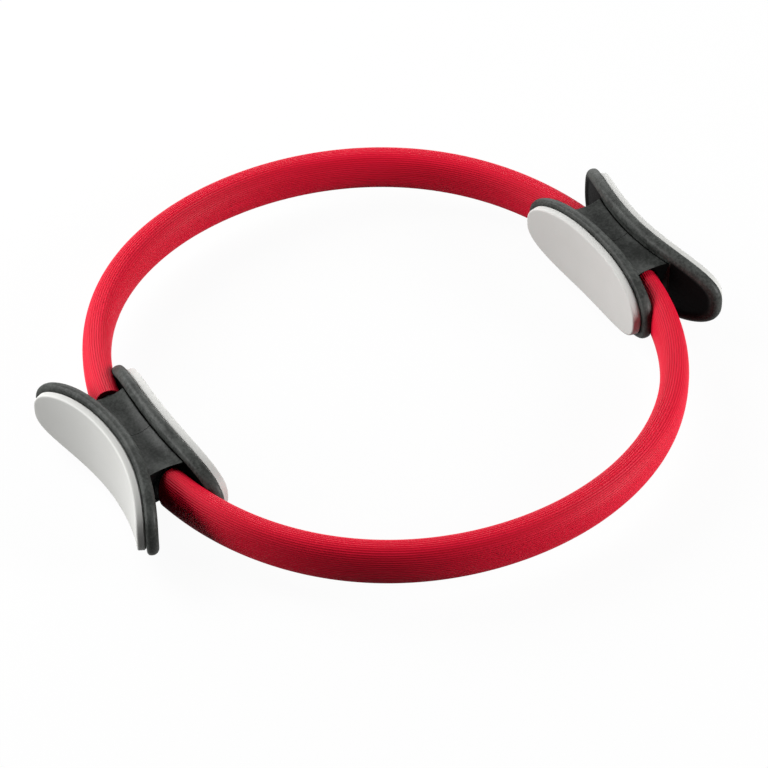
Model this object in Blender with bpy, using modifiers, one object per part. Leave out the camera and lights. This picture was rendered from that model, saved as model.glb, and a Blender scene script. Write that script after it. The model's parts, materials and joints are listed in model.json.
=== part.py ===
"""A pilates ring: a sprung hoop in a rubber sleeve, with two padded grips opposite each other.

Metres, +Z up. The ring lies flat. The origin is under its middle, on the surface that it lies on,
and +X runs from grip A to grip B. Each half of the hoop holds a spring band in a foam liner. The
band bends all along its length, so it is cut here into links with upright hinges between them.
The links hang in one chain from grip A through the front half to grip B. The rear half hangs from
both grips and is cut through its last link, where the two ends of the chain meet.
"""

import math

import bmesh
import bpy
from mathutils import Matrix, Vector

# Hoop: centreline radii at the grips, between grips and sides, and at the sides
HOOP_RADIUS_AT_GRIP = 0.1758
HOOP_RADIUS_AT_DIAGONAL = 0.1824
HOOP_RADIUS_AT_SIDE = 0.1834
SLEEVE_THICKNESS = 0.018
SLEEVE_HEIGHT = 0.029
SLEEVE_SQUARENESS = 2.5
SLEEVE_WALL = 0.0028
BAND_THICKNESS = 0.003
BAND_HEIGHT = 0.018

# Hinges that stand for the band's bending, by their angle in degrees from the nearer grip
FIRST_HINGE = 26.0
SECOND_HINGE = 60.0
MIDDLE_HINGE = 90.0
HINGE_GAP = 0.002

# Outer plate of a grip, which flares away from the hoop
OUTER_SEAT = 0.0142
OUTER_BEND = 0.155
OUTER_LENGTH = 0.1512
OUTER_HEIGHT = 0.0545
OUTER_RIM = 0.0075
OUTER_WAIST = 0.006
OUTER_SQUARENESS = 2.65
OUTER_PAD_THICKNESS = 0.0056
OUTER_PAD_END_MARGIN = 0.0034
OUTER_PAD_SIDE_MARGIN = 0.0033

# Inner plate of a grip, which flares towards the hoop's middle
INNER_SEAT = 0.0172
INNER_BEND = 0.293
INNER_LENGTH = 0.1352
INNER_HEIGHT = 0.0515
INNER_RIM = 0.0075
INNER_WAIST = 0.006
INNER_SQUARENESS = 2.5
INNER_PAD_THICKNESS = 0.006
INNER_PAD_END_MARGIN = 0.0045
INNER_PAD_SIDE_MARGIN = 0.0026

# Edges of the plates and pads, and the flat that a plate lies on
PLATE_FRONT_RADIUS = 0.002
PLATE_BACK_RADIUS = 0.0035
PLATE_DISH_INSET = 0.0045
PAD_EDGE_RADIUS = 0.002
FOOT_DEPTH = 0.0005

# Core of a grip, in two halves that meet at its middle
CORE_LENGTH = 0.076
CORE_HEIGHT = 0.035
CORE_FILLET = 0.004
SOCKET_DEPTH = 0.010

# Fasteners of a grip
SPLICE_THICKNESS = 0.0015
SPLICE_END_MARGIN = 0.009
SPLICE_HEIGHT = 0.016
SCREW_SPACING = 0.032
SCREW_DIAMETER = 0.004
SCREW_HEAD_DIAMETER = 0.008
SCREW_HEAD_HEIGHT = 0.0024
SCREW_DRIVE_WIDTH = 0.0025
SCREW_DRIVE_DEPTH = 0.0013
NUT_WIDTH = 0.007
NUT_HEIGHT = 0.0032

# Fits
GAP = 0.0003
SLEEVE_RELIEF = 0.0007

# Fineness of the round shapes, with angles in degrees
HOOP_STEP = 5.0
SHORTEST_STEP = 0.6
SHARP_ABOVE = 35.0
SLEEVE_POINTS = 16
LINER_POINTS = 8
PLATE_POINTS = 44
CORNER_STEPS = 2
CORE_STEPS = 5
ROUND_STEPS = 16
SETTLING_ROUNDS = 4
EMPTY_SIZE = 0.02

# Worked out from the sizes above
HOOP_LEVEL = OUTER_HEIGHT / 2 - FOOT_DEPTH
SLEEVE_START = CORE_LENGTH / 2 - SOCKET_DEPTH
SPLICE_LENGTH = SCREW_SPACING + 2 * SPLICE_END_MARGIN
LINER_THICKNESS = SLEEVE_THICKNESS - 2 * (SLEEVE_WALL + GAP)
LINER_HEIGHT = SLEEVE_HEIGHT - 2 * (SLEEVE_WALL + GAP)
HINGES = (FIRST_HINGE, SECOND_HINGE, MIDDLE_HINGE, 180 - SECOND_HINGE, 180 - FIRST_HINGE)
REAR_CUT = (HINGES[-2] + HINGES[-1]) / 2
HALVES = {"front": -1, "rear": 1}

COLOURS = {
    "red_rubber": ((0.68, 0.02, 0.085, 1), 0.45, 0.0),
    "black_moulding": ((0.03, 0.032, 0.032, 1), 0.7, 0.0),
    "grey_pad": ((0.62, 0.62, 0.59, 1), 0.55, 0.0),
    "foam": ((0.2, 0.2, 0.2, 1), 0.9, 0.0),
    "fibreglass": ((0.75, 0.68, 0.42, 1), 0.4, 0.0),
    "steel": ((0.6, 0.6, 0.6, 1), 0.35, 1.0),
}


def clear_scene():
    for obj in list(bpy.data.objects):
        bpy.data.objects.remove(obj, do_unlink=True)


def new_collection(name, hidden=False):
    collection = bpy.data.collections.new(name)
    collection.hide_render = hidden
    bpy.context.scene.collection.children.link(collection)
    return collection


def new_material(name):
    colour, roughness, metallic = COLOURS[name]
    material = bpy.data.materials.new(name)
    material.use_nodes = True
    material.diffuse_color = colour
    shader = material.node_tree.nodes["Principled BSDF"]
    shader.inputs["Base Color"].default_value = colour
    shader.inputs["Roughness"].default_value = roughness
    shader.inputs["Metallic"].default_value = metallic
    return material


def centreline(angle):
    """Radius of the hoop's centreline at an angle in radians from +X, alike in all four quarters."""
    mean = (HOOP_RADIUS_AT_GRIP + 2 * HOOP_RADIUS_AT_DIAGONAL + HOOP_RADIUS_AT_SIDE) / 4
    twofold = (HOOP_RADIUS_AT_GRIP - HOOP_RADIUS_AT_SIDE) / 2
    fourfold = (HOOP_RADIUS_AT_GRIP - 2 * HOOP_RADIUS_AT_DIAGONAL + HOOP_RADIUS_AT_SIDE) / 4
    return mean + twofold * math.cos(2 * angle) + fourfold * math.cos(4 * angle)


def hoop_point(angle, out=0.0, up=0.0):
    radius = centreline(angle) + out
    return Vector((radius * math.cos(angle), radius * math.sin(angle), up))


def angle_across(distance):
    """Angle from +X at which the centreline lies this far to the side of the X axis."""
    angle = math.asin(distance / HOOP_RADIUS_AT_GRIP)
    for _ in range(SETTLING_ROUNDS):
        angle = math.asin(distance / centreline(angle))
    return angle


def oval(width, height, squareness, points):
    """Section of a rounded bar, as (out, up) points, with a point at each corner's diagonal."""
    section = []
    for step in range(points):
        turn = 2 * math.pi * step / points
        c, s = math.cos(turn), math.sin(turn)
        out = math.copysign(abs(c) ** (2 / squareness), c) * width / 2
        up = math.copysign(abs(s) ** (2 / squareness), s) * height / 2
        section.append((out, up))
    return section


def slot(width, height):
    """Rectangular section with a point halfway along each side, to match an eight-sided oval."""
    x, y = width / 2, height / 2
    return [(x, 0), (x, y), (0, y), (-x, y), (-x, 0), (-x, -y), (0, -y), (x, -y)]


def rectangle(width, height, centre=0.0):
    x, y = width / 2, height / 2
    return [(centre + out, up) for out, up in ((x, y), (-x, y), (-x, -y), (x, -y))]


def stations(start, end):
    """Angles from start to end, with the hoop's common steps between, all in radians."""
    step = math.radians(HOOP_STEP)
    first, last = math.floor(start / step) + 1, math.ceil(end / step) - 1
    between = [k * step for k in range(first, last + 1)]
    least = math.radians(SHORTEST_STEP)
    inner = [angle for angle in between if start + least < angle < end - least]
    return [start, *inner, end]


def bridge(bm, first, second):
    """Quads between two rings of as many vertices."""
    count = len(first)
    for k in range(count):
        after = (k + 1) % count
        bm.faces.new((first[k], first[after], second[after], second[k]))


def finished_mesh(name, bm):
    bmesh.ops.recalc_face_normals(bm, faces=bm.faces)
    mesh = bpy.data.meshes.new(name)
    bm.to_mesh(mesh)
    bm.free()
    mesh.shade_smooth()
    mesh.set_sharp_from_angle(angle=math.radians(SHARP_ABOVE))
    return mesh


def swept_mesh(name, section, start, end, bore=None):
    """A bar that follows the hoop from start to end, hollow where a bore section is given."""
    bm = bmesh.new()
    angles = stations(start, end)

    def rings(outline):
        return [[bm.verts.new(hoop_point(a, out, up)) for out, up in outline] for a in angles]

    skins = [rings(section)] + ([rings(bore)] if bore else [])
    for skin in skins:
        for here, there in zip(skin, skin[1:]):
            bridge(bm, here, there)
    for end_of_bar in (0, -1):
        if bore:
            bridge(bm, skins[0][end_of_bar], skins[1][end_of_bar])
        else:
            bm.faces.new(skins[0][end_of_bar])
    return finished_mesh(name, bm)


class Maker:
    """Puts meshes into the scene as objects, each with its own material."""

    def __init__(self):
        self.parts = new_collection("pilates_ring")
        self.cutters = new_collection("cutters", hidden=True)

    def empty(self, name, place, parent=None, turn=0.0):
        obj = bpy.data.objects.new(name, None)
        obj.empty_display_size = EMPTY_SIZE
        self.parts.objects.link(obj)
        obj.parent = parent
        obj.matrix_local = Matrix.Translation(place) @ Matrix.Rotation(turn, 4, "Z")
        return obj

    def part(self, name, mesh, material, parent, shift=(0, 0, 0)):
        """A solid in the frame of its parent, moved by shift."""
        obj = bpy.data.objects.new(name, mesh)
        self.parts.objects.link(obj)
        obj.parent = parent
        obj.location = shift
        mesh.materials.append(new_material(material))
        return obj

    def cutter(self, name, mesh, parent):
        obj = bpy.data.objects.new(name, mesh)
        self.cutters.objects.link(obj)
        obj.parent = parent
        obj.hide_render = True
        obj.display_type = "WIRE"
        return obj


def cut(obj, *cutters):
    for cutter in cutters:
        modifier = obj.modifiers.new("cut by " + cutter.name, "BOOLEAN")
        modifier.operation = "DIFFERENCE"
        modifier.object = cutter


class Plate:
    """One plate of a grip, in the frame of the hoop with the grip at +X.

    Its face is the curved surface that carries the pad. Depth is measured from that face towards
    the core, and facing is +1 where the face looks out of the hoop and -1 where it looks inwards.
    """

    def __init__(self, facing, seat, bend, length, height, rim, waist, squareness):
        self.facing = facing
        self.face = HOOP_RADIUS_AT_GRIP + facing * seat
        self.bend = bend
        self.length = length
        self.height = height
        self.rim = rim
        self.waist = waist
        self.squareness = squareness

    def point(self, along, up, depth):
        radius = self.bend + depth
        turn = along / self.bend
        x = self.face + self.facing * (self.bend - radius * math.cos(turn))
        return Vector((x, radius * math.sin(turn), up))

    def x_at(self, side, depth):
        """Where the surface at this depth crosses a line at this distance to the side."""
        radius = self.bend + depth
        return self.face + self.facing * (self.bend - math.sqrt(radius**2 - side**2))

    def flat_reach(self, side):
        """How far up the flat middle of the plate's back goes at this distance to the side."""
        along = self.bend * math.asin(side / (self.bend + self.waist))
        share = along / (self.length / 2 - PLATE_DISH_INSET)
        rise = (1 - share**self.squareness) ** (1 / self.squareness)
        return rise * (self.height / 2 - PLATE_DISH_INSET)

    def outline(self, length, height, inset, lowest):
        ring = []
        for along, up in oval(length - 2 * inset, height - 2 * inset, self.squareness, PLATE_POINTS):
            ring.append((along, max(up, lowest)))
        return ring

    def mesh(self, name, length, height, profile, lowest=-math.inf):
        """A curved plate whose edge follows a profile of (inset, depth) points from front to back."""
        bm = bmesh.new()
        rings = []
        for inset, depth in profile:
            outline = self.outline(length, height, inset, lowest)
            rings.append([bm.verts.new(self.point(along, up, depth)) for along, up in outline])
        for here, there in zip(rings, rings[1:]):
            bridge(bm, here, there)
        half = PLATE_POINTS // 2
        for ring in (rings[0], rings[-1]):
            for k in range(half):
                corners = (ring[k], ring[k + 1], ring[-k - 1], ring[-k])
                bm.faces.new(tuple(dict.fromkeys(corners)))
        return finished_mesh(name, bm)


def front_corner(depth, radius):
    """Points (inset, depth) round the edge of a plate or pad, from its front face to its side."""
    turns = [math.pi / 2 * step / CORNER_STEPS for step in range(CORNER_STEPS + 1)]
    return [(radius * (1 - math.sin(turn)), depth + radius * (1 - math.cos(turn))) for turn in turns]


def back_corner(depth, radius):
    """Points (inset, depth) round the edge of a plate, from its side to its back face."""
    return [(inset, 2 * depth - behind) for inset, behind in reversed(front_corner(depth, radius))]


OUTER = Plate(
    facing=1,
    seat=OUTER_SEAT,
    bend=OUTER_BEND,
    length=OUTER_LENGTH,
    height=OUTER_HEIGHT,
    rim=OUTER_RIM,
    waist=OUTER_WAIST,
    squareness=OUTER_SQUARENESS,
)
INNER = Plate(
    facing=-1,
    seat=INNER_SEAT,
    bend=INNER_BEND,
    length=INNER_LENGTH,
    height=INNER_HEIGHT,
    rim=INNER_RIM,
    waist=INNER_WAIST,
    squareness=INNER_SQUARENESS,
)


def flange_mesh(name, plate, lowest):
    profile = front_corner(0, PLATE_FRONT_RADIUS)
    profile += back_corner(plate.rim, PLATE_BACK_RADIUS)
    profile.append((PLATE_DISH_INSET, plate.waist))
    return plate.mesh(name, plate.length, plate.height, profile, lowest)


def pad_mesh(name, plate, end_margin, side_margin, thickness):
    length = plate.length - 2 * end_margin
    height = plate.height - 2 * side_margin
    profile = front_corner(-thickness, PAD_EDGE_RADIUS)
    profile.append((0, -GAP))
    return plate.mesh(name, length, height, profile)


def core_section(side):
    """Outline of the core across the grip at a distance to the side, as (x, up) points.

    It spans from plate to plate, and a fillet sweeps up the flat of each plate's back.
    """
    inner_x = INNER.x_at(side, INNER.waist + GAP)
    outer_x = OUTER.x_at(side, OUTER.waist + GAP)
    top = CORE_HEIGHT / 2
    room = min(INNER.flat_reach(side), OUTER.flat_reach(side)) - top - GAP
    fillet = min(CORE_FILLET, room)
    upper = []
    for step in range(CORNER_STEPS + 1):
        turn = math.pi / 2 * step / CORNER_STEPS
        reach = fillet * (1 - math.cos(turn))
        upper.append((outer_x - reach, top + fillet * (1 - math.sin(turn))))
    upper += [(inner_x + outer_x - x, up) for x, up in reversed(upper)]
    return upper + [(x, -up) for x, up in reversed(upper)]


def core_mesh(name, side):
    """Half of the core, from the grip's middle to the mouth that the sleeve goes into."""
    bm = bmesh.new()
    rings = []
    for step in range(CORE_STEPS + 1):
        distance = GAP / 2 + (CORE_LENGTH / 2 - GAP / 2) * step / CORE_STEPS
        rings.append([bm.verts.new((x, side * distance, up)) for x, up in core_section(distance)])
    for here, there in zip(rings, rings[1:]):
        bridge(bm, here, there)
    bm.faces.new(rings[0])
    bm.faces.new(rings[-1])
    return finished_mesh(name, bm)


def turned_profile(name, profile):
    """An edge from the X axis round a turned shape and back to the axis, as (along, radius) points."""
    mesh = bpy.data.meshes.new(name)
    edges = [(k, k + 1) for k in range(len(profile) - 1)]
    mesh.from_pydata([(along, radius, 0) for along, radius in profile], edges, [])
    return mesh


def turn_about_x(obj):
    screw = obj.modifiers.new("turned", "SCREW")
    screw.axis = "X"
    screw.steps = ROUND_STEPS
    screw.render_steps = ROUND_STEPS
    screw.use_merge_vertices = True
    screw.merge_threshold = 0.00001
    screw.use_smooth_shade = False


def hex_bar(name, width, start, end):
    """A six-sided bar along X, with two of its flats level."""
    bm = bmesh.new()
    radius = width / math.sqrt(3)
    length = end - start
    bmesh.ops.create_cone(bm, cap_ends=True, segments=6, radius1=radius, radius2=radius, depth=length)
    turn = Matrix.Translation(((start + end) / 2, 0, 0)) @ Matrix.Rotation(math.pi / 2, 4, "Y")
    bmesh.ops.transform(bm, matrix=turn, verts=bm.verts)
    return finished_mesh(name, bm)


def sweep_between(name, section, side, near, far, bore=None):
    """A bar round the hoop on one side of a grip at +X, between two angles from that grip."""
    start, end = sorted((side * near, side * far))
    return swept_mesh(name, section, start, end, bore)


def band_section():
    return rectangle(BAND_THICKNESS, BAND_HEIGHT)


def liner_section():
    return oval(LINER_THICKNESS, LINER_HEIGHT, SLEEVE_SQUARENESS, LINER_POINTS)


def liner_bore():
    return slot(BAND_THICKNESS + 2 * GAP, BAND_HEIGHT + 2 * GAP)


def sleeve_section(growth=0.0):
    return oval(SLEEVE_THICKNESS + growth, SLEEVE_HEIGHT + growth, SLEEVE_SQUARENESS, SLEEVE_POINTS)


def build_sleeves(make, ring):
    start = angle_across(SLEEVE_START)
    bore = sleeve_section(-2 * SLEEVE_WALL)
    for half, side in HALVES.items():
        name = "sleeve_" + half
        mesh = sweep_between(name, sleeve_section(), side, start, math.pi - start, bore)
        make.part(name, mesh, "red_rubber", ring)


def link_end(angle, side):
    """Angle from grip B of a link's end at an angle from grip A, drawn in by half of the gap there."""
    gap = HINGE_GAP if angle in HINGES else GAP
    from_b = math.radians(180 - angle)
    return from_b + side * gap / 2 / centreline(from_b)


def hinge_place(half, angle):
    """Where a hinge stands: its angle is counted from grip A at -X, along this half of the hoop."""
    return hoop_point(HALVES[half] * math.radians(180 - angle))


def build_link(make, half, number, ends, hinge, place):
    """A link of the band and its liner between two angles from grip A, on the hinge at this place."""
    far, near = link_end(ends[0], -1), link_end(ends[1], 1)
    for kind, section, bore, material in (
        ("band", band_section(), None, "fibreglass"),
        ("liner", liner_section(), liner_bore(), "foam"),
    ):
        name = f"{kind}_{half}_{number}"
        mesh = sweep_between(name, section, HALVES[half], near, far, bore)
        make.part(name, mesh, material, hinge, shift=-place)


def build_chain(make, ring, half, end):
    """The links of one half from grip A up to an angle, each hung from the one before; gives the last."""
    hinge, place = ring, Vector((0, 0, 0))
    ends = [angle for angle in HINGES if angle < end] + [end]
    for number, (first, last) in enumerate(zip(ends, ends[1:]), 1):
        next_place = hinge_place(half, first)
        hinge = make.empty(f"hinge_{half}_{number}", next_place - place, hinge)
        place = next_place
        build_link(make, half, number, (first, last), hinge, place)
    return hinge, place


class Grip:
    """One grip, in a frame at the hoop's middle whose +X points at the grip."""

    def __init__(self, make, letter, parent, shift, turn):
        self.make = make
        self.letter = letter
        self.frame = make.empty(f"grip_{letter}", shift, parent, turn)
        facing = round(math.cos(turn))
        self.sides = {half: facing * side for half, side in HALVES.items()}
        self.add_cutters()

    def name(self, word):
        return f"{word}_{self.letter}"

    def solid(self, word, mesh, material, cutters=(), shift=(0, 0, 0)):
        obj = self.make.part(self.name(word), mesh, material, self.frame, shift)
        cut(obj, *cutters)
        return obj

    def cutter(self, word, mesh, shift=(0, 0, 0)):
        obj = self.make.cutter(self.name(word), mesh, self.frame)
        obj.location = shift
        return obj

    def add_cutters(self):
        hinge = math.radians(FIRST_HINGE)
        band = rectangle(BAND_THICKNESS + 2 * GAP, BAND_HEIGHT + 2 * GAP)
        self.band_slot = self.cutter("band_slot", swept_mesh("band_slot", band, -hinge, hinge))
        pocket_width = SPLICE_THICKNESS + 2 * GAP + BAND_THICKNESS / 2
        pocket = rectangle(pocket_width, SPLICE_HEIGHT + 2 * GAP, centre=-pocket_width / 2)
        pocket_end = angle_across(SPLICE_LENGTH / 2 + GAP)
        mesh = swept_mesh("splice_pocket", pocket, -pocket_end, pocket_end)
        self.splice_pocket = self.cutter("splice_pocket", mesh)
        self.socket, self.screw_hole, self.nut_pocket = {}, {}, {}
        socket_start = angle_across(SLEEVE_START - GAP)
        nut_floor = self.nut_face() + NUT_HEIGHT + GAP
        for half, side in self.sides.items():
            place = (0, side * SCREW_SPACING / 2, 0)
            mesh = sweep_between("socket", sleeve_section(2 * SLEEVE_RELIEF), side, socket_start, hinge)
            self.socket[half] = self.cutter("socket_" + half, mesh)
            mesh = turned_profile("screw_hole", self.screw_profile(GAP))
            self.screw_hole[half] = self.cutter("screw_hole_" + half, mesh, place)
            turn_about_x(self.screw_hole[half])
            mesh = hex_bar("nut_pocket", NUT_WIDTH + 2 * GAP, self.nut_face() - NUT_HEIGHT, nut_floor)
            self.nut_pocket[half] = self.cutter("nut_pocket_" + half, mesh, place)

    def head_face(self):
        """Where the screw heads end, just under the curved face that the outer pad sits on."""
        return OUTER.x_at(SCREW_SPACING / 2 - SCREW_HEAD_DIAMETER / 2, 0) - GAP

    def nut_face(self):
        return INNER.x_at(SCREW_SPACING / 2 - NUT_WIDTH / 2, 0) + GAP

    def screw_profile(self, room):
        """Half outline of a screw, or of its hole with this much room round it and open ends."""
        head, end = self.head_face(), self.nut_face()
        seat = head - SCREW_HEAD_HEIGHT - room
        if room:
            head += SCREW_HEAD_HEIGHT
            end -= NUT_HEIGHT
        shank_radius = SCREW_DIAMETER / 2 + room
        head_radius = SCREW_HEAD_DIAMETER / 2 + room
        outline = [(head, head_radius), (seat, head_radius), (seat, shank_radius), (end, shank_radius)]
        return [(head, 0), *outline, (end, 0)]

    def build(self):
        self.add_plates()
        self.add_core()
        self.add_band_ends()
        self.add_fasteners()

    def add_plates(self):
        holes = list(self.screw_hole.values())
        openings = [*holes, *self.nut_pocket.values(), *self.socket.values()]
        outer = flange_mesh("outer_flange", OUTER, -HOOP_LEVEL)
        inner = flange_mesh("inner_flange", INNER, -HOOP_LEVEL)
        self.solid("outer_flange", outer, "black_moulding", holes)
        self.solid("inner_flange", inner, "black_moulding", openings)
        outer_margins = (OUTER_PAD_END_MARGIN, OUTER_PAD_SIDE_MARGIN)
        inner_margins = (INNER_PAD_END_MARGIN, INNER_PAD_SIDE_MARGIN)
        outer_pad = pad_mesh("outer_pad", OUTER, *outer_margins, OUTER_PAD_THICKNESS)
        inner_pad = pad_mesh("inner_pad", INNER, *inner_margins, INNER_PAD_THICKNESS)
        self.solid("outer_pad", outer_pad, "grey_pad")
        self.solid("inner_pad", inner_pad, "grey_pad")

    def add_core(self):
        for half, side in self.sides.items():
            cutters = (self.band_slot, self.splice_pocket, self.socket[half], self.screw_hole[half])
            self.solid("core_" + half, core_mesh("core_" + half, side), "black_moulding", cutters)

    def add_band_ends(self):
        """The two ends of the bands, the plate that joins them, and the liners up to the first hinges."""
        hinge = math.radians(FIRST_HINGE)
        end = hinge - HINGE_GAP / 2 / centreline(hinge)
        middle = GAP / 2 / centreline(0)
        for half, side in self.sides.items():
            band = sweep_between("band_end", band_section(), side, middle, end)
            self.solid("band_end_" + half, band, "fibreglass", [self.screw_hole[half]])
            start = angle_across(SLEEVE_START)
            liner = sweep_between("liner_end", liner_section(), side, start, end, liner_bore())
            self.solid("liner_end_" + half, liner, "foam")
        inset = -(BAND_THICKNESS + SPLICE_THICKNESS) / 2 - GAP
        reach = angle_across(SPLICE_LENGTH / 2)
        section = rectangle(SPLICE_THICKNESS, SPLICE_HEIGHT, inset)
        plate = swept_mesh("splice_plate", section, -reach, reach)
        self.solid("splice_plate", plate, "steel", list(self.screw_hole.values()))

    def add_fasteners(self):
        drive_floor = self.head_face() - SCREW_DRIVE_DEPTH
        drive = hex_bar("drive", SCREW_DRIVE_WIDTH, drive_floor, self.head_face() + SCREW_HEAD_HEIGHT)
        for half, side in self.sides.items():
            place = (0, side * SCREW_SPACING / 2, 0)
            mesh = turned_profile("screw", self.screw_profile(0))
            screw = self.solid("screw_" + half, mesh, "steel", shift=place)
            turn_about_x(screw)
            cut(screw, self.cutter("drive_" + half, drive, place))
            nut = hex_bar("nut", NUT_WIDTH, self.nut_face(), self.nut_face() + NUT_HEIGHT)
            self.solid("nut_" + half, nut, "steel", [self.screw_hole[half]], shift=place)


def build_ring():
    make = Maker()
    ring = make.empty("ring", (0, 0, HOOP_LEVEL))
    build_sleeves(make, ring)
    Grip(make, "a", ring, (0, 0, 0), math.pi).build()
    count, last = len(HINGES), HINGES[-1]
    link, link_place = build_chain(make, ring, "front", last)
    place = hinge_place("front", last)
    hinge = make.empty(f"hinge_front_{count}", place - link_place, link)
    grip = Grip(make, "b", hinge, -place, 0.0)
    grip.build()
    build_chain(make, ring, "rear", REAR_CUT)
    place = hinge_place("rear", last)
    hinge = make.empty(f"hinge_rear_{count}", place, grip.frame)
    build_link(make, "rear", count, (REAR_CUT, last), hinge, place)


clear_scene()
build_ring()
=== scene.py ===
"""The looks of a pilates ring: ribbed red sleeves, black grips and pale pads, made on its solids."""

import json
import math

import bmesh
import bpy
from mathutils import Matrix, Vector


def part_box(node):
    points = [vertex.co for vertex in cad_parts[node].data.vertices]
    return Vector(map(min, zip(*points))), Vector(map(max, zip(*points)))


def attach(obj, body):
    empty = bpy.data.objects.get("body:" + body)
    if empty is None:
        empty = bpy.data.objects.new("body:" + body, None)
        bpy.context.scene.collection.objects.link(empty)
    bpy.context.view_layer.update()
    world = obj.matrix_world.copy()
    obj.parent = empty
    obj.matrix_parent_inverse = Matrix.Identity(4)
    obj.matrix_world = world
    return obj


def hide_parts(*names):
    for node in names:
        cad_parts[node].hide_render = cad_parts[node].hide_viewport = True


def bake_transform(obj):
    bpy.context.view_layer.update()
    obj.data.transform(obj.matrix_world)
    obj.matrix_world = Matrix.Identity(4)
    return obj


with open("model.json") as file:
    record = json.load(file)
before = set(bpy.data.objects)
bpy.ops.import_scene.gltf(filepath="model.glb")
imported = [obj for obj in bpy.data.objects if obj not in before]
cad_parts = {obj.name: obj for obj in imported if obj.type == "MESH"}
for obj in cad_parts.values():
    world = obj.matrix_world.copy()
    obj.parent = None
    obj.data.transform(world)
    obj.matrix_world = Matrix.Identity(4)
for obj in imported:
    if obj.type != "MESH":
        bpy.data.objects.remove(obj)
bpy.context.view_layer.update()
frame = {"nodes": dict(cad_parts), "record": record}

# Hoop: centreline radii at the grips, between grips and sides, and at the sides
HOOP_RADIUS_AT_GRIP = 0.1758
HOOP_RADIUS_AT_DIAGONAL = 0.1824
HOOP_RADIUS_AT_SIDE = 0.1834

# Sleeves, and the ribs that run along them
SLEEVE_THICKNESS = 0.018
SLEEVE_HEIGHT = 0.029
SLEEVE_SQUARENESS = 2.5
SLEEVE_WALL = 0.0028
RIB_COUNT = 52
RIB_DEPTH = 0.0003
RIB_POINTS = 6

# How far to the side of the middle of grip A and of grip B the ends of a sleeve lie
SLEEVE_STARTS = {"front": (0.0368, 0.034), "rear": (0.0435, 0.034)}

# Sockets in the cores, which widen at their mouths, and notches in the inner plates
SOCKET_START = 0.028
SOCKET_RELIEF = 0.0007
MOUTH_FLARE = 0.0012
MOUTH_FLARE_REACH = 0.010
NOTCH_RELIEF = 0.0003

# Angles from grip A, in degrees, of the hinges that the hoop bends at and of the sleeve's seams
HINGES = (26, 60, 90, 120, 154)
SEAMS = (43, 75, 105, 137)
BEND_REACH_BY_GRIP = 0.025
BEND_REACH = 0.045
HALVES = {"front": -1, "rear": 1}

# Bodies that the hinges join, from grip A to grip B; the rear half is cut between rear_4 and rear_5
CHAINS = {
    "front": (("grip_a", "front_1", "front_2", "front_3", "front_4", "grip_b"),),
    "rear": (("grip_a", "rear_1", "rear_2", "rear_3", "rear_4"), ("rear_5", "grip_b")),
}

# Plates of a grip
OUTER_SIZES = {
    "facing": 1,
    "seat": 0.0142,
    "bend": 0.155,
    "length": 0.1512,
    "height": 0.0545,
    "rim": 0.0075,
    "waist": 0.006,
    "squareness": 2.65,
}
INNER_SIZES = {
    "facing": -1,
    "seat": 0.0172,
    "bend": 0.293,
    "length": 0.1352,
    "height": 0.0515,
    "rim": 0.0075,
    "waist": 0.006,
    "squareness": 2.5,
}
PLATE_FRONT_RADIUS = 0.0025
PLATE_BACK_RADIUS = 0.0042
PLATE_DISH_START = 0.0042
PLATE_DISH_END = 0.0085

# Pads on the plates
OUTER_PAD = {"end_margin": 0.0034, "side_margin": 0.0033, "thickness": 0.0056}
INNER_PAD = {"end_margin": 0.0045, "side_margin": 0.0026, "thickness": 0.006}
PAD_EDGE_RADIUS = 0.0012
PAD_UNDERCUT = 0.0009
PAD_CROWN = 0.0005
PAD_CROWN_REACH = 0.018

# Core of a grip, in two halves that meet at its middle
CORE_LENGTH = 0.0775
CORE_HEIGHT = 0.035
CORE_CROWN = 0.0008
CREASE_WIDTH = 0.0021
CREASE_DEPTH = 0.0021
VALLEY_SAG = 0.0035
VALLEY_SAG_AT_MOUTH = 0.0008
MOUTH_ARC_DEPTH = 0.0022
MOUTH_LEAN = 0.008

# Room between pieces that lie on each other, and width of the narrow ring that ends a flat face
GAP = 0.0003
FLAT_MARGIN = 0.0006

# Painted shade: a plate's back turns near black over a short reach before the core's end, and
# so do the few faces of the core next to a plate
PAINTED_SHADE = 0.0
PAINTED_SHADE_FADE = 0.004
CREASE_SHADE_FACES = 4

# Fineness of the meshes, with angles in degrees, and of the search for an angle
SLEEVE_SECTION_POINTS = 256
SLEEVE_RINGS = 33
SOCKET_RINGS = 40
SOCKET_POINTS = 96
PLATE_POINTS = 200
CORNER_STEPS = 6
DISH_STEPS = 8
CORE_RINGS = 28
CORE_WIDTH_POINTS = 24
SHARP_ABOVE = 40.0
RIB_SHARP_ABOVE = 65.0
TANGENT_STEP = 0.5
ANGLE_ROUNDS = 4

# Colours, as linear red, green and blue with full alpha
RUBBER_DEEP = (0.58, 0.006, 0.022, 1.0)
RUBBER_BRIGHT = (0.80, 0.012, 0.050, 1.0)
# The grooves' deeper red is painted shade
RUBBER_GROOVE_SHADE = (0.40, 0.003, 0.006, 1.0)
MOULDING_DARK = (0.024, 0.026, 0.024, 1.0)
MOULDING_LIGHT = (0.077, 0.082, 0.077, 1.0)
# Near black painted as shade in sockets, creases, core ends and plate backs past the cores
MOULDING_PAINTED_SHADE = (0.002, 0.002, 0.002, 1.0)
PAD_DARK = (0.60, 0.60, 0.575, 1.0)
PAD_LIGHT = (0.65, 0.65, 0.63, 1.0)
FOAM_DARK = (0.02, 0.02, 0.02, 1.0)
FOAM_LIGHT = (0.11, 0.11, 0.115, 1.0)
FIBRE_DARK = (0.60, 0.50, 0.25, 1.0)
FIBRE_LIGHT = (0.82, 0.76, 0.52, 1.0)
STEEL_DARK = (0.50, 0.50, 0.49, 1.0)
STEEL_LIGHT = (0.68, 0.68, 0.67, 1.0)
WHITE = (1.0, 1.0, 1.0, 1.0)

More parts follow.
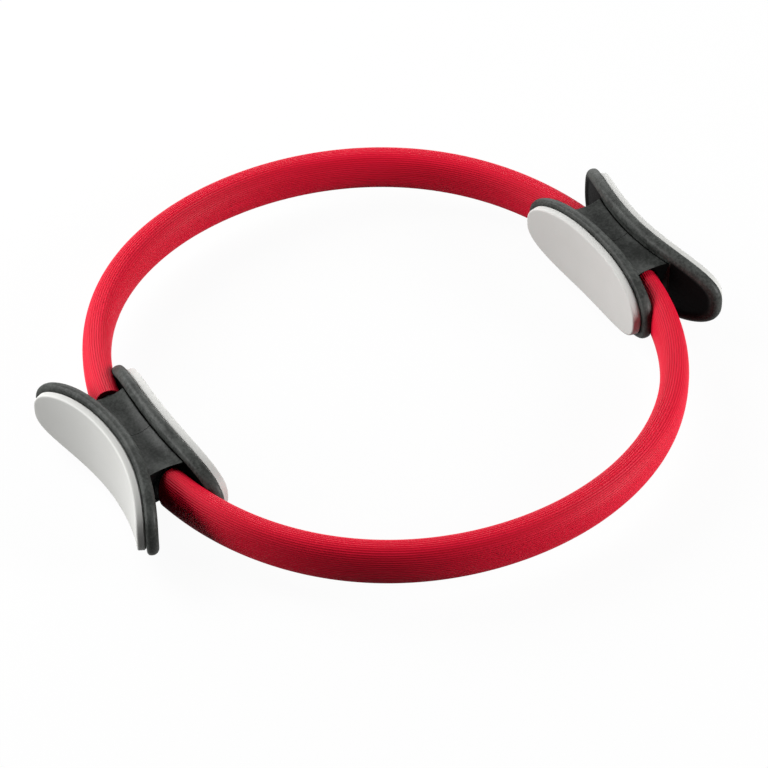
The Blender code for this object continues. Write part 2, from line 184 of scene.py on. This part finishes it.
# Floor and world: pale to the camera and in reflections, and nearly dark as a source of light
FLOOR_SIZE = 12.0
FLOOR_DROP = 0.0002
FLOOR_DIM = (0.05, 0.05, 0.05, 1.0)
FLOOR_PALE = (0.8, 0.8, 0.8, 1.0)
FLOOR_GLOW = 0.95
WORLD_LIGHT = 0.01

# Camera, aimed at the hoop's middle, with its lens shifted so that the ring stands as photographed
VIEW_AZIMUTH = -31.3
VIEW_ELEVATION = 42.03
VIEW_DISTANCE = 2.0746
FOCAL_LENGTH = 155.39
SENSOR_WIDTH = 36.0
SHIFT_X = -0.00077
SHIFT_Y = -0.0424

# Lamps, aimed at the hoop's middle, with azimuths counted from the camera's
LAMP_DISTANCE = 1.6
LAMPS = {
    "left_rear_lamp": {"azimuth": -120, "elevation": 35, "size": 1.0, "power": 22.5},
    "rear_lamp": {"azimuth": 180, "elevation": 15, "size": 1.2, "power": 12},
    "right_lamp": {"azimuth": 80, "elevation": 20, "size": 0.8, "power": 28},
    "left_lamp": {"azimuth": -80, "elevation": 20, "size": 0.8, "power": 16.5},
}

LOWEST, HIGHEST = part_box("sleeve_front")
HOOP_LEVEL = (LOWEST.z + HIGHEST.z) / 2


class Link:
    """A socket of a node tree that takes part in sums and products."""

    def __init__(self, tree, socket):
        self.tree = tree
        self.socket = socket

    def __add__(self, other):
        return self.tree.maths("ADD", self, other)

    def __radd__(self, other):
        return self.tree.maths("ADD", other, self)

    def __sub__(self, other):
        return self.tree.maths("SUBTRACT", self, other)

    def __rsub__(self, other):
        return self.tree.maths("SUBTRACT", other, self)

    def __mul__(self, other):
        return self.tree.maths("MULTIPLY", self, other)

    def __rmul__(self, other):
        return self.tree.maths("MULTIPLY", other, self)

    def __truediv__(self, other):
        return self.tree.maths("DIVIDE", self, other)

    def __rtruediv__(self, other):
        return self.tree.maths("DIVIDE", other, self)

    def __pow__(self, other):
        return self.tree.maths("POWER", self, other)

    def __abs__(self):
        return self.tree.maths("ABSOLUTE", self)


class Tree:
    """The nodes of a material, the world or a geometry modifier."""

    def __init__(self, owner):
        self.nodes = owner.nodes
        self.links = owner.links

    def node(self, kind, settings=None, inputs=None, output=0):
        """Adds a node, sets it, gives its sockets their values or links, and returns one output."""
        node = self.nodes.new(kind)
        for name, value in (settings or {}).items():
            setattr(node, name, value)
        for name, value in (inputs or {}).items():
            if isinstance(value, Link):
                self.links.new(value.socket, node.inputs[name])
            else:
                node.inputs[name].default_value = value
        return Link(self, node.outputs[output]) if node.outputs else None

    def maths(self, operation, *values):
        return self.node("ShaderNodeMath", {"operation": operation}, dict(enumerate(values)))

    def cosine(self, value):
        return self.maths("COSINE", value)

    def sine(self, value):
        return self.maths("SINE", value)

    def vector(self, x, y, z):
        return self.node("ShaderNodeCombineXYZ", inputs={"X": x, "Y": y, "Z": z})

    def parts(self, vector):
        split = self.node("ShaderNodeSeparateXYZ", inputs={"Vector": vector}).socket.node
        return [Link(self, output) for output in split.outputs]

    def attribute(self, name):
        """A number that the mesh carries."""
        return self.node("ShaderNodeAttribute", {"attribute_name": name}, output="Fac")

    def mix(self, factor, first, second):
        """A colour between two colours."""
        factor_socket, first_socket, second_socket, colour_output = 0, 6, 7, 2
        inputs = {factor_socket: factor, first_socket: first, second_socket: second}
        return self.node("ShaderNodeMix", {"data_type": "RGBA"}, inputs, colour_output)

    def noise(self, vector, scale, detail=2.0, roughness=0.5):
        inputs = {"Vector": vector, "Scale": scale, "Detail": detail, "Roughness": roughness}
        return self.node("ShaderNodeTexNoise", inputs=inputs)

    def ramp(self, value, low, high):
        """Goes from 0 where the value is low to 1 where it is high."""
        inputs = {"Value": value, "From Min": low, "From Max": high}
        return self.node("ShaderNodeMapRange", {"interpolation_type": "SMOOTHSTEP"}, inputs)

    def bump(self, height, distance):
        return self.node("ShaderNodeBump", inputs={"Height": height, "Distance": distance})


def principled(name, paint, **constants):
    """A material whose tree is filled by paint, which gives the links of the shader's sockets."""
    material = bpy.data.materials.new(name)
    material.use_nodes = True
    tree = Tree(material.node_tree)
    shader = material.node_tree.nodes["Principled BSDF"]
    for socket, value in constants.items():
        shader.inputs[socket.replace("_", " ")].default_value = value
    place = tree.node("ShaderNodeTexCoord", output="Object")
    for socket, value in paint(tree, place).items():
        tree.links.new(value.socket, shader.inputs[socket])
    return material


def paint_red_rubber(tree, place):
    """Streaks run along the hoop from rib to rib; grooves between ribs get painted shade, deeper red.
    """
    streaks_per_radian = 3.0
    groove = tree.attribute("groove")
    around = tree.attribute("around")
    x, y, _ = tree.parts(place)
    along = tree.maths("ARCTAN2", y, x)
    streak_place = tree.vector(around * RIB_COUNT, along * streaks_per_radian, 0.0)
    streak = tree.noise(streak_place, scale=1.0)
    crest = tree.mix(streak, RUBBER_DEEP, RUBBER_BRIGHT)
    # Grooves are painted a deeper red as shade
    painted_groove_shade = tree.ramp(groove, low=0.35, high=1.0) * 0.55
    return {
        "Base Color": tree.mix(painted_groove_shade, crest, RUBBER_GROOVE_SHADE),
        "Roughness": 0.34 + streak * 0.14 + groove * 0.08,
    }


def paint_black_moulding(tree, place):
    """Mottled, with a thin sheen where hands rub it, and near black painted as shade in recesses."""
    handling_and_shade = tree.attribute("handling_and_shade")
    cloud = tree.noise(place, scale=70.0, detail=4.0, roughness=0.6)
    speckle = tree.noise(place, scale=520.0, detail=3.0, roughness=0.65)
    grain = tree.noise(place, scale=1500.0)
    mottle = tree.ramp(cloud * 0.5 + speckle * 0.5, low=0.36, high=0.66)
    mottled = tree.mix(mottle, MOULDING_DARK, MOULDING_LIGHT)
    # Near black is painted as shade where the mark falls low, in sockets, creases and recesses
    out_of_painted_shade = tree.ramp(handling_and_shade, low=0.0, high=0.7)
    sheen = tree.ramp(handling_and_shade, low=0.6, high=1.0) * 0.18
    return {
        "Base Color": tree.mix(out_of_painted_shade, MOULDING_PAINTED_SHADE, mottled),
        "Roughness": 0.52 + speckle * 0.22,
        "Coat Weight": sheen,
        "Normal": tree.bump(speckle * 0.7 + grain * 0.3, distance=0.00025),
    }


def paint_grey_pad(tree, place):
    cloud = tree.noise(place, scale=40.0, detail=3.0)
    grain = tree.noise(place, scale=1300.0)
    return {
        "Base Color": tree.mix(cloud, PAD_DARK, PAD_LIGHT),
        "Roughness": 0.46 + grain * 0.12,
        "Normal": tree.bump(grain, distance=0.00005),
    }


def paint_foam(tree, place):
    cell_pattern = {"Vector": place, "Scale": 700.0}
    cells = tree.node("ShaderNodeTexVoronoi", inputs=cell_pattern, output="Distance")
    return {
        "Base Color": tree.mix(cells, FOAM_DARK, FOAM_LIGHT),
        "Normal": tree.bump(cells, distance=0.0004),
    }


def paint_fibreglass(tree, place):
    """Fibres that run along the hoop, so the pattern changes only with radius and height."""
    fineness_across = 6.0
    x, y, z = tree.parts(place)
    radius = (x * x + y * y) ** 0.5
    streak = tree.noise(tree.vector(radius * fineness_across, 0.0, z), scale=900.0, detail=4.0)
    return {
        "Base Color": tree.mix(streak, FIBRE_DARK, FIBRE_LIGHT),
        "Roughness": 0.3 + streak * 0.2,
    }


def paint_steel(tree, place):
    wear = tree.noise(place, scale=300.0, detail=4.0)
    return {
        "Base Color": tree.mix(wear, STEEL_DARK, STEEL_LIGHT),
        "Roughness": 0.25 + wear * 0.25,
    }


MOULDING_SHINE = {"Specular_IOR_Level": 0.03, "Coat_Roughness": 0.35}
MATERIALS = {
    "red_rubber": principled("red_rubber", paint_red_rubber, Specular_IOR_Level=0.1),
    "black_moulding": principled("black_moulding", paint_black_moulding, **MOULDING_SHINE),
    "grey_pad": principled("grey_pad", paint_grey_pad, Specular_IOR_Level=0.3),
    "foam": principled("foam", paint_foam, Roughness=0.95),
    "fibreglass": principled("fibreglass", paint_fibreglass),
    "steel": principled("steel", paint_steel, Metallic=1.0),
}


def dress_solids():
    """Gives every solid its finish; only those inside the sleeves and grips stay as they are."""
    slots = {row["node"]: row["material_slot"] for row in frame["record"]["subparts"]}
    for name, obj in frame["nodes"].items():
        obj.data.materials.clear()
        obj.data.materials.append(MATERIALS[slots[name]])


def hoop_radius(angle, cosine, at_grip, at_diagonal, at_side):
    """Radius of the hoop's centreline at an angle in radians from +X, alike in all four quarters.

    It takes numbers with math.cos, or links of a tree with the tree's cosine.
    """
    mean = (at_grip + 2 * at_diagonal + at_side) / 4
    twofold = (at_grip - at_side) / 2
    fourfold = (at_grip - 2 * at_diagonal + at_side) / 4
    return mean + twofold * cosine(2 * angle) + fourfold * cosine(4 * angle)


def centreline(angle):
    radii = (HOOP_RADIUS_AT_GRIP, HOOP_RADIUS_AT_DIAGONAL, HOOP_RADIUS_AT_SIDE)
    return hoop_radius(angle, math.cos, *radii)


def hoop_point(angle, out=0.0, up=0.0):
    radius = centreline(angle) + out
    return Vector((radius * math.cos(angle), radius * math.sin(angle), up))


def angle_across(distance):
    """Angle from +X at which the centreline lies this far to the side of the X axis."""
    angle = math.asin(distance / HOOP_RADIUS_AT_GRIP)
    for _ in range(ANGLE_ROUNDS):
        angle = math.asin(distance / centreline(angle))
    return angle


def oval(width, height, squareness, points):
    """Points of an oval that is fuller at its corners than an ellipse."""
    section = []
    for step in range(points):
        turn = 2 * math.pi * step / points
        c, s = math.cos(turn), math.sin(turn)
        out = math.copysign(abs(c) ** (2 / squareness), c) * width / 2
        up = math.copysign(abs(s) ** (2 / squareness), s) * height / 2
        section.append((out, up))
    return section


def smooth(share):
    """Eases from 0 to 1 as the share does, and stays level beyond them."""
    share = min(max(share, 0.0), 1.0)
    return share * share * (3 - 2 * share)


def add_face(bm, corners, handling_and_shade):
    """Adds a face with a mark, from 0 where near black is painted as shade, as inside a socket, to 1
    where hands rub.
    """
    layer = bm.faces.layers.float.get("handling_and_shade") or bm.faces.layers.float.new("handling_and_shade")
    bm.faces.new(corners)[layer] = handling_and_shade


def bridge(bm, first, second, marks):
    """Joins two rings with faces, with one mark of painted shade and rubbing for the face after each
    point.
    """
    for k, handling_and_shade in enumerate(marks):
        after = (k + 1) % len(marks)
        add_face(bm, (first[k], first[after], second[after], second[k]), handling_and_shade)


def close_with_strips(bm, ring, marks):
    """Fills a ring that is alike above and below with strips that run up and down."""
    for k in range(len(ring) // 2):
        corners = (ring[k], ring[k + 1], ring[-k - 1], ring[-k])
        add_face(bm, tuple(dict.fromkeys(corners)), marks[k])


def mesh_of(name, bm):
    bmesh.ops.recalc_face_normals(bm, faces=bm.faces)
    mesh = bpy.data.meshes.new(name)
    bm.to_mesh(mesh)
    bm.free()
    return mesh


def add_object(name, data):
    obj = bpy.data.objects.new(name, data)
    bpy.context.scene.collection.objects.link(obj)
    return obj


def settle(obj, material, sharp_above=SHARP_ABOVE):
    """Gives an object the plain mesh that its modifiers make, shaded smooth, in one material."""
    graph = bpy.context.evaluated_depsgraph_get()
    mesh = bpy.data.meshes.new_from_object(obj.evaluated_get(graph))
    obj.modifiers.clear()
    obj.data = mesh
    mesh.name = obj.name
    mesh.materials.clear()
    mesh.materials.append(MATERIALS[material])
    mesh.shade_smooth()
    mesh.set_sharp_from_angle(angle=math.radians(sharp_above))


SLEEVE_INPUTS = {
    "Start": "NodeSocketFloat",
    "End": "NodeSocketFloat",
    "Radius at Grip": "NodeSocketFloat",
    "Radius at Diagonal": "NodeSocketFloat",
    "Radius at Side": "NodeSocketFloat",
    "Level": "NodeSocketFloat",
    "Thickness": "NodeSocketFloat",
    "Height": "NodeSocketFloat",
    "Squareness": "NodeSocketFloat",
    "Rib Depth": "NodeSocketFloat",
    "Ribs": "NodeSocketInt",
    "Points per Rib": "NodeSocketInt",
    "Rings": "NodeSocketInt",
    "Material": "NodeSocketMaterial",
}


def rounded_power(tree, value, squareness):
    """Keeps the sign of a sine or cosine and flattens it, as an oval with fuller corners does."""
    return tree.maths("SIGN", value) * abs(value) ** (2.0 / squareness)


def ribbed_section(tree, size):
    """The sleeve's oval as a curve, with a groove pressed in after every rib."""
    around = tree.node("GeometryNodeSplineParameter", output="Factor")
    turn = 2 * math.pi * around
    out = rounded_power(tree, tree.cosine(turn), size["Squareness"]) * size["Thickness"] / 2
    up = rounded_power(tree, tree.sine(turn), size["Squareness"]) * size["Height"] / 2
    points = {"Resolution": SLEEVE_SECTION_POINTS}
    circle = tree.node("GeometryNodeCurvePrimitiveCircle", inputs=points)
    oval_place = {"Geometry": circle, "Position": tree.vector(out, up, 0.0)}
    section = tree.node("GeometryNodeSetPosition", inputs=oval_place)
    count = {"Curve": section, "Count": size["Ribs"] * size["Points per Rib"]}
    section = tree.node("GeometryNodeResampleCurve", inputs=count)

    groove = 0.5 - 0.5 * tree.cosine(turn * size["Ribs"])
    tangent_x, tangent_y, _ = tree.parts(tree.node("GeometryNodeInputTangent"))
    depth = groove * size["Rib Depth"]
    inwards = tree.vector(0.0 - tangent_y * depth, tangent_x * depth, 0.0)
    for word, value in (("groove", groove), ("around", around)):
        named = {"Geometry": section, "Name": word, "Value": value}
        section = tree.node("GeometryNodeStoreNamedAttribute", {"data_type": "FLOAT"}, named)
    return tree.node("GeometryNodeSetPosition", inputs={"Geometry": section, "Offset": inwards})


def bent_round_hoop(tree, size, skin):
    """Bends a skin that runs along Y, from 0 to 1, round the hoop's centreline."""
    out, share, up = tree.parts(tree.node("GeometryNodeInputPosition"))
    radii = [size["Radius at " + word] for word in ("Grip", "Diagonal", "Side")]
    angle = size["Start"] + (size["End"] - size["Start"]) * share
    radius = hoop_radius(angle, tree.cosine, *radii) + out
    place = tree.vector(radius * tree.cosine(angle), radius * tree.sine(angle), size["Level"] + up)
    return tree.node("GeometryNodeSetPosition", inputs={"Geometry": skin, "Position": place})


def sleeve_group():
    """Sweeps a ribbed oval section along a straight line, then bends it round the hoop."""
    group = bpy.data.node_groups.new("ribbed_sleeve", "GeometryNodeTree")
    for name, kind in SLEEVE_INPUTS.items():
        group.interface.new_socket(name=name, in_out="INPUT", socket_type=kind)
    group.interface.new_socket(name="Sleeve", in_out="OUTPUT", socket_type="NodeSocketGeometry")
    tree = Tree(group)
    source = group.nodes.new("NodeGroupInput")
    size = {name: Link(tree, source.outputs[name]) for name in SLEEVE_INPUTS}
    path = tree.node("GeometryNodeCurvePrimitiveLine", inputs={"End": (0.0, 1.0, 0.0)})
    path = tree.node("GeometryNodeResampleCurve", inputs={"Curve": path, "Count": size["Rings"]})
    path = tree.node("GeometryNodeSetCurveNormal", {"mode": "Z_UP"}, {"Curve": path})
    sweep = {"Curve": path, "Profile Curve": ribbed_section(tree, size)}
    skin = bent_round_hoop(tree, size, tree.node("GeometryNodeCurveToMesh", inputs=sweep))
    skin = tree.node("GeometryNodeRealizeInstances", inputs={"Geometry": skin})
    dressed = {"Geometry": skin, "Material": size["Material"]}
    skin = tree.node("GeometryNodeSetMaterial", inputs=dressed)
    tree.node("NodeGroupOutput", inputs={"Sleeve": skin})
    return group


def sleeve_piece(group, name, start, end):
    """One stretch of a sleeve as a plain mesh with a wall, between two angles from +X."""
    obj = add_object(name, bpy.data.meshes.new(name))
    modifier = obj.modifiers.new("ribbed_sleeve", "NODES")
    modifier.node_group = group
    values = {
        "Start": start,
        "End": end,
        "Radius at Grip": HOOP_RADIUS_AT_GRIP,
        "Radius at Diagonal": HOOP_RADIUS_AT_DIAGONAL,
        "Radius at Side": HOOP_RADIUS_AT_SIDE,
        "Level": HOOP_LEVEL,
        "Thickness": SLEEVE_THICKNESS,
        "Height": SLEEVE_HEIGHT,
        "Squareness": SLEEVE_SQUARENESS,
        "Rib Depth": RIB_DEPTH,
        "Ribs": RIB_COUNT,
        "Points per Rib": RIB_POINTS,
        "Rings": SLEEVE_RINGS,
        "Material": MATERIALS["red_rubber"],
    }
    for item in group.interface.items_tree:
        if item.in_out == "INPUT":
            modifier[item.identifier] = values[item.name]
    wall = obj.modifiers.new("wall", "SOLIDIFY")
    wall.thickness = SLEEVE_WALL
    wall.offset = -1.0
    settle(obj, "red_rubber", RIB_SHARP_ABOVE)
    return obj


def bodies_at_hinges(half):
    """The two bodies that each hinge of a half joins, in order from grip A."""
    return [pair for chain in CHAINS[half] for pair in zip(chain, chain[1:])]


def hoop_way(side, degrees):
    """A point of the centreline at an angle from grip A, and the way from grip A to B there."""
    angle = side * (math.pi - math.radians(degrees))
    here = hoop_point(angle, up=HOOP_LEVEL)
    onward = hoop_point(angle - side * math.radians(TANGENT_STEP), up=HOOP_LEVEL)
    return here, (onward - here).normalized()


def build_sleeves():
    """Five stretches for each half of the hoop, each from seam to seam round one hinge."""
    group = sleeve_group()
    for half, side in HALVES.items():
        start_a, start_b = (math.degrees(angle_across(start)) for start in SLEEVE_STARTS[half])
        bounds = (start_a, *SEAMS, 180 - start_b)
        stretches = zip(HINGES, bounds, bounds[1:], bodies_at_hinges(half))
        for number, (hinge, near, far, bodies) in enumerate(stretches, 1):
            start, end = sorted(side * math.radians(180 - degrees) for degrees in (near, far))
            piece = sleeve_piece(group, f"sleeve_{half}_{number}", start, end)
            by_grip = hinge in (HINGES[0], HINGES[-1])
            reach = BEND_REACH_BY_GRIP if by_grip else BEND_REACH
            here, onward = hoop_way(side, hinge)
            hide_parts("sleeve_" + half)
            here - onward * reach
            here + onward * reach
            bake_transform(piece)


class Plate:
    """One plate of a grip, in the frame of the hoop with the grip at +X, as its solid is made.

    Its face is the curved surface that carries the pad. Depth is measured from that face towards
    the core, and facing is +1 where the face looks out of the hoop and -1 where it looks inwards.
    """

    def __init__(self, facing, seat, bend, length, height, rim, waist, squareness):
        self.facing = facing
        self.face = HOOP_RADIUS_AT_GRIP + facing * seat
        self.bend = bend
        self.length = length
        self.height = height
        self.rim = rim
        self.waist = waist
        self.squareness = squareness

    def point(self, along, up, depth):
        radius = self.bend + depth
        turn = along / self.bend
        x = self.face + self.facing * (self.bend - radius * math.cos(turn))
        return Vector((x, radius * math.sin(turn), up))

    def x_at(self, side, depth):
        """Where the surface at this depth crosses a line at this distance to the side."""
        radius = self.bend + depth
        return self.face + self.facing * (self.bend - math.sqrt(radius**2 - side**2))

    def mark_handling_and_shade(self, along, inset, depth):
        """Full, but for the plate's back past the ends of the core, less the farther from the edge:
        painted shade.
        """
        past_core = smooth((abs(along) - CORE_LENGTH / 2) / PAINTED_SHADE_FADE + 1)
        behind = smooth(inset / PLATE_DISH_END) if depth > self.rim / 2 else 0.0
        return 1.0 - behind * past_core

    def mesh(self, name, length, height, profile, lowest=-math.inf):
        """A curved plate whose edge follows a profile of (inset, depth) points from front to back."""
        bm = bmesh.new()
        rings = []
        marks = []
        for inset, depth in profile:
            outline = oval(length - 2 * inset, height - 2 * inset, self.squareness, PLATE_POINTS)
            places = [self.point(along, max(up, lowest), depth) for along, up in outline]
            rings.append([bm.verts.new(place) for place in places])
            marks.append([self.mark_handling_and_shade(along, inset, depth) for along, _ in outline])
        for here, there, ring_marks in zip(rings, rings[1:], marks):
            bridge(bm, here, there, ring_marks)
        for end in (0, -1):
            close_with_strips(bm, rings[end], marks[end])
        return mesh_of(name, bm)


OUTER = Plate(**OUTER_SIZES)
INNER = Plate(**INNER_SIZES)


def front_corner(depth, radius):
    """Points (inset, depth) round the edge of a plate or pad, from its front face to its side."""
    turns = [math.pi / 2 * step / CORNER_STEPS for step in range(CORNER_STEPS + 1)]
    return [(radius * (1 - math.sin(turn)), depth + radius * (1 - math.cos(turn))) for turn in turns]


def back_corner(depth, radius):
    """Points (inset, depth) round the edge of a plate, from its side to its back face."""
    return [(inset, 2 * depth - behind) for inset, behind in reversed(front_corner(depth, radius))]


def plate_mesh(name, plate):
    """A plate with a rounded rim and a dished back, cut flat where the ring rests."""
    profile = [(PLATE_FRONT_RADIUS + FLAT_MARGIN, 0), *front_corner(0, PLATE_FRONT_RADIUS)]
    profile += back_corner(plate.rim, PLATE_BACK_RADIUS)
    for step in range(1, DISH_STEPS + 1):
        share = step / DISH_STEPS
        inset = PLATE_DISH_START + (PLATE_DISH_END - PLATE_DISH_START) * share
        profile.append((inset, plate.rim + (plate.waist - plate.rim) * smooth(share)))
    profile.append((PLATE_DISH_END + FLAT_MARGIN, plate.waist))
    return plate.mesh(name, plate.length, plate.height, profile, -HOOP_LEVEL)


def pad_mesh(name, plate, end_margin, side_margin, thickness):
    """A pad with a low crown, a rounded edge and a flat back with a bevel round it."""
    length = plate.length - 2 * end_margin
    height = plate.height - 2 * side_margin
    profile = []
    for step in range(DISH_STEPS):
        share = step / DISH_STEPS
        inset = PAD_CROWN_REACH + (PAD_EDGE_RADIUS - PAD_CROWN_REACH) * share
        profile.append((inset, -thickness - PAD_CROWN * (1 - share**2)))
    profile += front_corner(-thickness, PAD_EDGE_RADIUS)
    profile += [(0, -GAP - PAD_UNDERCUT), (PAD_UNDERCUT, -GAP), (PAD_UNDERCUT + FLAT_MARGIN, -GAP)]
    return plate.mesh(name, length, height, profile)


def core_section(side):
    """Upper outline of the core across the grip at a distance to the side, as (x, up) points.

    A crease runs along the foot of each plate, and the top sags between the two, most in the middle
    of the grip. The creases rise a little from the mouths to the middle.
    """
    inner_x = INNER.x_at(side, INNER.waist)
    outer_x = OUTER.x_at(side, OUTER.waist)
    middle, half = (inner_x + outer_x) / 2, (outer_x - inner_x) / 2
    inward = 1 - (2 * side / CORE_LENGTH) ** 2
    top = CORE_HEIGHT / 2 + CORE_CROWN * inward
    sag = VALLEY_SAG_AT_MOUTH + (VALLEY_SAG - VALLEY_SAG_AT_MOUTH) * inward
    points = []
    for step in range(CORE_WIDTH_POINTS + 1):
        across = math.cos(math.pi * step / CORE_WIDTH_POINTS)
        from_plate = half * (1 - abs(across))
        share = min(from_plate / CREASE_WIDTH, 1.0)
        drop = CREASE_DEPTH * (1 - math.sqrt(1 - (1 - share) ** 2))
        points.append((middle + half * across, top - drop - sag * (1 - across**2)))
    return points


def core_shade_marks():
    """Marks of the faces round the core: painted black shade in the few next to a plate, full in the
    rest.
    """
    faces = range(CORE_WIDTH_POINTS + 1)
    upper = [float(min(k, CORE_WIDTH_POINTS - 1 - k) >= CREASE_SHADE_FACES) for k in faces]
    return upper + upper


def core_mesh(name, side):
    """Half of the core, from the grip's middle to the mouth that the sleeve goes into.

    The mouth's upper edge is a shallow arc, and its lower edge is set back.
    """
    bm = bmesh.new()
    rings = []
    for step in range(CORE_RINGS + 1):
        share = step / CORE_RINGS
        distance = GAP / 2 + (CORE_LENGTH / 2 - GAP / 2) * share
        upper = core_section(distance)
        left, right = upper[-1][0], upper[0][0]
        ring = []
        for x, up in upper:
            across = (2 * x - left - right) / (right - left)
            y = distance - MOUTH_ARC_DEPTH * smooth(share) * (1 - across**2)
            ring.append(Vector((x, side * y, up)))
        lean = side * MOUTH_LEAN * smooth(share)
        ring += [Vector((p.x, p.y - lean, -p.z)) for p in reversed(ring)]
        rings.append([bm.verts.new(p) for p in ring])
    for here, there in zip(rings, rings[1:]):
        bridge(bm, here, there, core_shade_marks())
    # The core's end faces are painted near black as shade
    for ring in (rings[0], rings[-1]):
        for k in range(CORE_WIDTH_POINTS):
            add_face(bm, (ring[k], ring[k + 1], ring[-k - 2], ring[-k - 1]), PAINTED_SHADE)
    return mesh_of(name, bm)


def socket_cutter(name, side, relief, flare):
    """The room for the sleeve in a grip, on one side of it, up to the first hinge.

    It widens by the flare over a short reach before the end of the core.
    """
    start, end = angle_across(SOCKET_START), math.radians(HINGES[0])
    mouth = angle_across(CORE_LENGTH / 2)
    narrow = angle_across(CORE_LENGTH / 2 - MOUTH_FLARE_REACH)
    # Walls of a socket are painted near black as shade
    marks = [PAINTED_SHADE] * SOCKET_POINTS
    bm = bmesh.new()
    rings = []
    for step in range(SOCKET_RINGS + 1):
        angle = start + (end - start) * step / SOCKET_RINGS
        room = 2 * (relief + flare * smooth((angle - narrow) / (mouth - narrow)))
        section = oval(SLEEVE_THICKNESS + room, SLEEVE_HEIGHT + room, SLEEVE_SQUARENESS, SOCKET_POINTS)
        rings.append([bm.verts.new(hoop_point(side * angle, out, up)) for out, up in section])
    for here, there in zip(rings, rings[1:]):
        bridge(bm, here, there, marks)
    for ring in (rings[0], rings[-1]):
        close_with_strips(bm, ring, marks)
    return mesh_of(name, bm)


class GripMaker:
    """Makes the seen pieces of one grip, in a frame at the hoop's middle whose +X points at it."""

    def __init__(self, letter, turn):
        self.letter = letter
        self.place = Matrix.Translation((0, 0, HOOP_LEVEL)) @ Matrix.Rotation(turn, 4, "Z")
        facing = round(math.cos(turn))
        self.sides = {half: facing * side for half, side in HALVES.items()}
        self.sockets = self.cutters("socket", SOCKET_RELIEF, MOUTH_FLARE)
        self.notches = self.cutters("notch", NOTCH_RELIEF, 0.0)

    def solid(self, word, mesh):
        mesh.transform(self.place)
        return add_object(f"{word}_{self.letter}", mesh)

    def cutters(self, word, relief, flare):
        """One cutter for each half of the hoop."""
        made = {}
        for half, side in self.sides.items():
            made[half] = self.solid(f"{word}_{half}", socket_cutter(word, side, relief, flare))
        return made

    def finish(self, obj, node, material, cutters=()):
        for cutter in cutters:
            modifier = obj.modifiers.new("cut by " + cutter.name, "BOOLEAN")
            modifier.operation = "DIFFERENCE"
            modifier.object = cutter
        settle(obj, material)
        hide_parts(f"{node}_{self.letter}")
        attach(obj, "grip_" + self.letter)

    def build(self):
        outer = self.solid("outer_plate", plate_mesh("outer_plate", OUTER))
        self.finish(outer, "outer_flange", "black_moulding")
        inner = self.solid("inner_plate", plate_mesh("inner_plate", INNER))
        self.finish(inner, "inner_flange", "black_moulding", self.notches.values())
        for half, side in self.sides.items():
            core = self.solid("core_half_" + half, core_mesh("core", side))
            self.finish(core, "core_" + half, "black_moulding", [self.sockets[half]])
        for word, plate, sizes in (("outer_pad", OUTER, OUTER_PAD), ("inner_pad", INNER, INNER_PAD)):
            pad = self.solid(word + "_cover", pad_mesh(word, plate, **sizes))
            self.finish(pad, word, "grey_pad")
        for cutter in (*self.sockets.values(), *self.notches.values()):
            bpy.data.objects.remove(cutter)


def seen_straight(tree):
    """1 for rays from the camera and those sent on by shiny or clear surfaces, and 0 for others."""
    rays = tree.nodes.new("ShaderNodeLightPath")
    words = ("Camera", "Glossy", "Transmission")
    return sum(Link(tree, rays.outputs[f"Is {word} Ray"]) for word in words)


def build_floor():
    """A pale floor that looks white straight to the camera but still shows the ring's shadow."""
    material = bpy.data.materials.new("floor")
    material.use_nodes = True
    tree = Tree(material.node_tree)
    tree.nodes.clear()
    seen = seen_straight(tree)
    paint = tree.mix(seen, FLOOR_DIM, FLOOR_PALE)
    lit = tree.node("ShaderNodeBsdfDiffuse", inputs={"Color": paint})
    glow = tree.node("ShaderNodeEmission", inputs={"Color": WHITE})
    shares = {0: seen * FLOOR_GLOW, 1: lit, 2: glow}
    surface = tree.node("ShaderNodeMixShader", inputs=shares)
    tree.node("ShaderNodeOutputMaterial", inputs={"Surface": surface})
    bm = bmesh.new()
    bmesh.ops.create_grid(bm, x_segments=1, y_segments=1, size=FLOOR_SIZE / 2)
    floor = add_object("floor", mesh_of("floor", bm))
    floor.location.z = -FLOOR_DROP
    floor.data.materials.append(material)


def build_world():
    """White where the camera or a reflection looks past the floor, and nearly dark elsewhere."""
    world = bpy.data.worlds.new("studio")
    bpy.context.scene.world = world
    world.use_nodes = True
    tree = Tree(world.node_tree)
    tree.nodes.clear()
    strength = WORLD_LIGHT + seen_straight(tree) * (1 - WORLD_LIGHT)
    surface = tree.node("ShaderNodeBackground", inputs={"Color": WHITE, "Strength": strength})
    tree.node("ShaderNodeOutputWorld", inputs={"Surface": surface})


def aim(obj, azimuth, elevation, distance):
    """Puts an object at a distance from the hoop's middle and turns it to look there.

    The azimuth counts from the front of the ring towards its right, in degrees like the elevation.
    """
    a, e = math.radians(azimuth), math.radians(elevation)
    direction = Vector((math.sin(a) * math.cos(e), -math.cos(a) * math.cos(e), math.sin(e)))
    obj.location = Vector((0, 0, HOOP_LEVEL)) + direction * distance
    obj.rotation_mode = "QUATERNION"
    obj.rotation_quaternion = (-direction).to_track_quat("-Z", "Y")


def build_lamps():
    for name, lamp in LAMPS.items():
        data = bpy.data.lights.new(name, "AREA")
        data.shape = "DISK"
        data.size = lamp["size"]
        data.energy = lamp["power"]
        aim(add_object(name, data), VIEW_AZIMUTH + lamp["azimuth"], lamp["elevation"], LAMP_DISTANCE)


def build_camera():
    data = bpy.data.cameras.new("camera")
    data.sensor_width = SENSOR_WIDTH
    data.lens = FOCAL_LENGTH
    data.shift_x = SHIFT_X
    data.shift_y = SHIFT_Y
    camera = add_object("camera", data)
    aim(camera, VIEW_AZIMUTH, VIEW_ELEVATION, VIEW_DISTANCE)
    bpy.context.scene.camera = camera
    bpy.context.scene.view_settings.view_transform = "Standard"


build_camera()
build_world()
build_lamps()
build_floor()
dress_solids()
build_sleeves()
GripMaker("a", math.pi).build()
GripMaker("b", 0.0).build()
